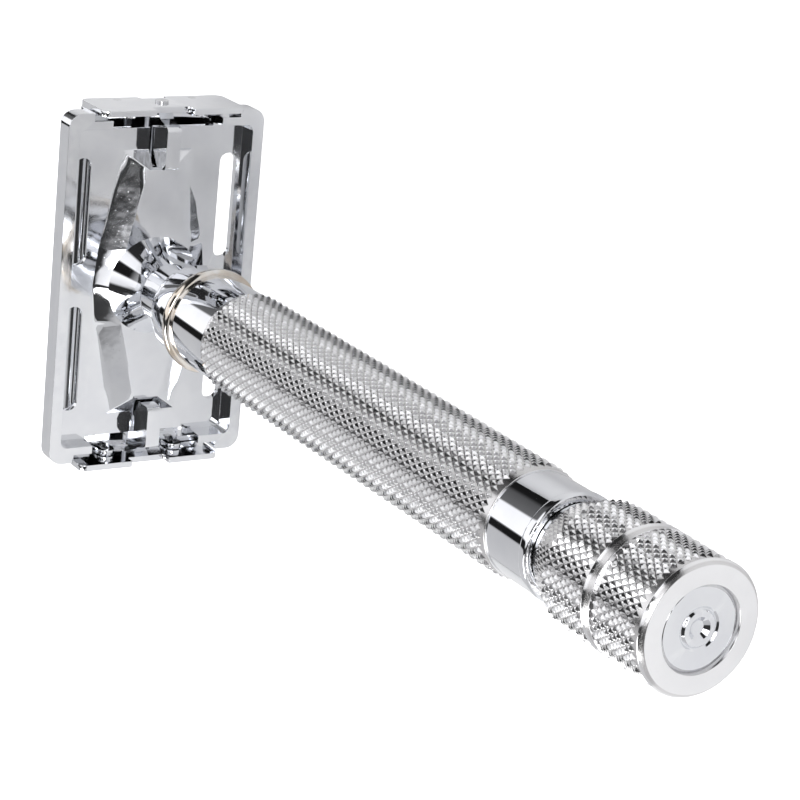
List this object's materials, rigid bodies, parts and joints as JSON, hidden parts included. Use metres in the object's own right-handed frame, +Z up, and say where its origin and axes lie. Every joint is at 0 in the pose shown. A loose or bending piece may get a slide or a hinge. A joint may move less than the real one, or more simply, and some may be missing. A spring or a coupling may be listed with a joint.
{
  "type": "safety razor",
  "caption": "Twist-to-open double-edge safety razor with knurled handle, domed doors over a slotted guard, and an end knob that lifts a bar to swing the doors open.",
  "frame": {"origin": "on the floor plane under the middle of the overall box, razor lying on one long edge of its head with the handle axis horizontal", "axes": "+X along the handle from the head towards the knob, +Y along the head's long side, +Z up, across the head's width"},
  "size_m": [0.1166, 0.0452, 0.0259],
  "materials": {
    "chrome_casting": "polished chrome plate over a zinc casting",
    "chrome_turned": "mirror chrome plate on turned brass",
    "chrome_knurled": "chrome plate over a crisp diamond knurl",
    "pin_steel": "plain steel pins and rivets",
    "brass_inner": "plain turned brass"
  },
  "bodies": {
    "handle": {"guard_plate": "chrome_casting", "handle_tube": "chrome_knurled", "hinge_pin_left_lower": "pin_steel", "hinge_pin_left_upper": "pin_steel", "hinge_pin_right_lower": "pin_steel", "hinge_pin_right_upper": "pin_steel", "journal_bush": "brass_inner", "lower_ferrule": "chrome_turned", "neck_collar": "chrome_turned", "neck_flare": "chrome_turned", "neck_ring": "chrome_turned", "stem_guide": "brass_inner", "upper_ferrule": "chrome_turned"},
    "knob": {"cross_pin": "pin_steel", "knob_barrel": "chrome_knurled", "knob_end_plug": "chrome_turned", "retaining_clip": "pin_steel", "spindle": "brass_inner", "thrust_washer": "brass_inner"},
    "lift": {"cap_rivet_left": "pin_steel", "cap_rivet_right": "pin_steel", "end_cap_left": "chrome_casting", "end_cap_right": "chrome_casting", "lift_bar": "chrome_casting", "lift_pin_left_lower": "pin_steel", "lift_pin_left_upper": "pin_steel", "lift_pin_right_lower": "pin_steel", "lift_pin_right_upper": "pin_steel", "lift_stem": "brass_inner"},
    "upper_door": {"upper_door": "chrome_casting"},
    "lower_door": {"lower_door": "chrome_casting"}
  },
  "joints": [
    {"name": "knob_twist", "type": "hinge", "parent": "handle", "child": "knob", "pos_m": [0.03875, 0, 0.01295], "axis": [1, 0, 0], "range_deg": [0, 720]},
    {"name": "lift_slide", "type": "slide", "parent": "handle", "child": "lift", "axis": [-1, 0, 0], "range_m": [0, 0.0035]},
    {"name": "upper_door_hinge", "type": "hinge", "parent": "handle", "child": "upper_door", "pos_m": [-0.05645, 0, 0.02125], "axis": [0, 1, 0], "range_deg": [0, 80]},
    {"name": "lower_door_hinge", "type": "hinge", "parent": "handle", "child": "lower_door", "pos_m": [-0.05645, 0, 0.00465], "axis": [0, -1, 0], "range_deg": [0, 80]}
  ],
  "couplings": [
    {"joint": "knob_twist", "follows": "lift_slide", "rad_per_m": 3590.4},
    {"joint": "upper_door_hinge", "follows": "lift_slide", "rad_per_m": 398.93},
    {"joint": "lower_door_hinge", "follows": "lift_slide", "rad_per_m": 398.93}
  ]
}
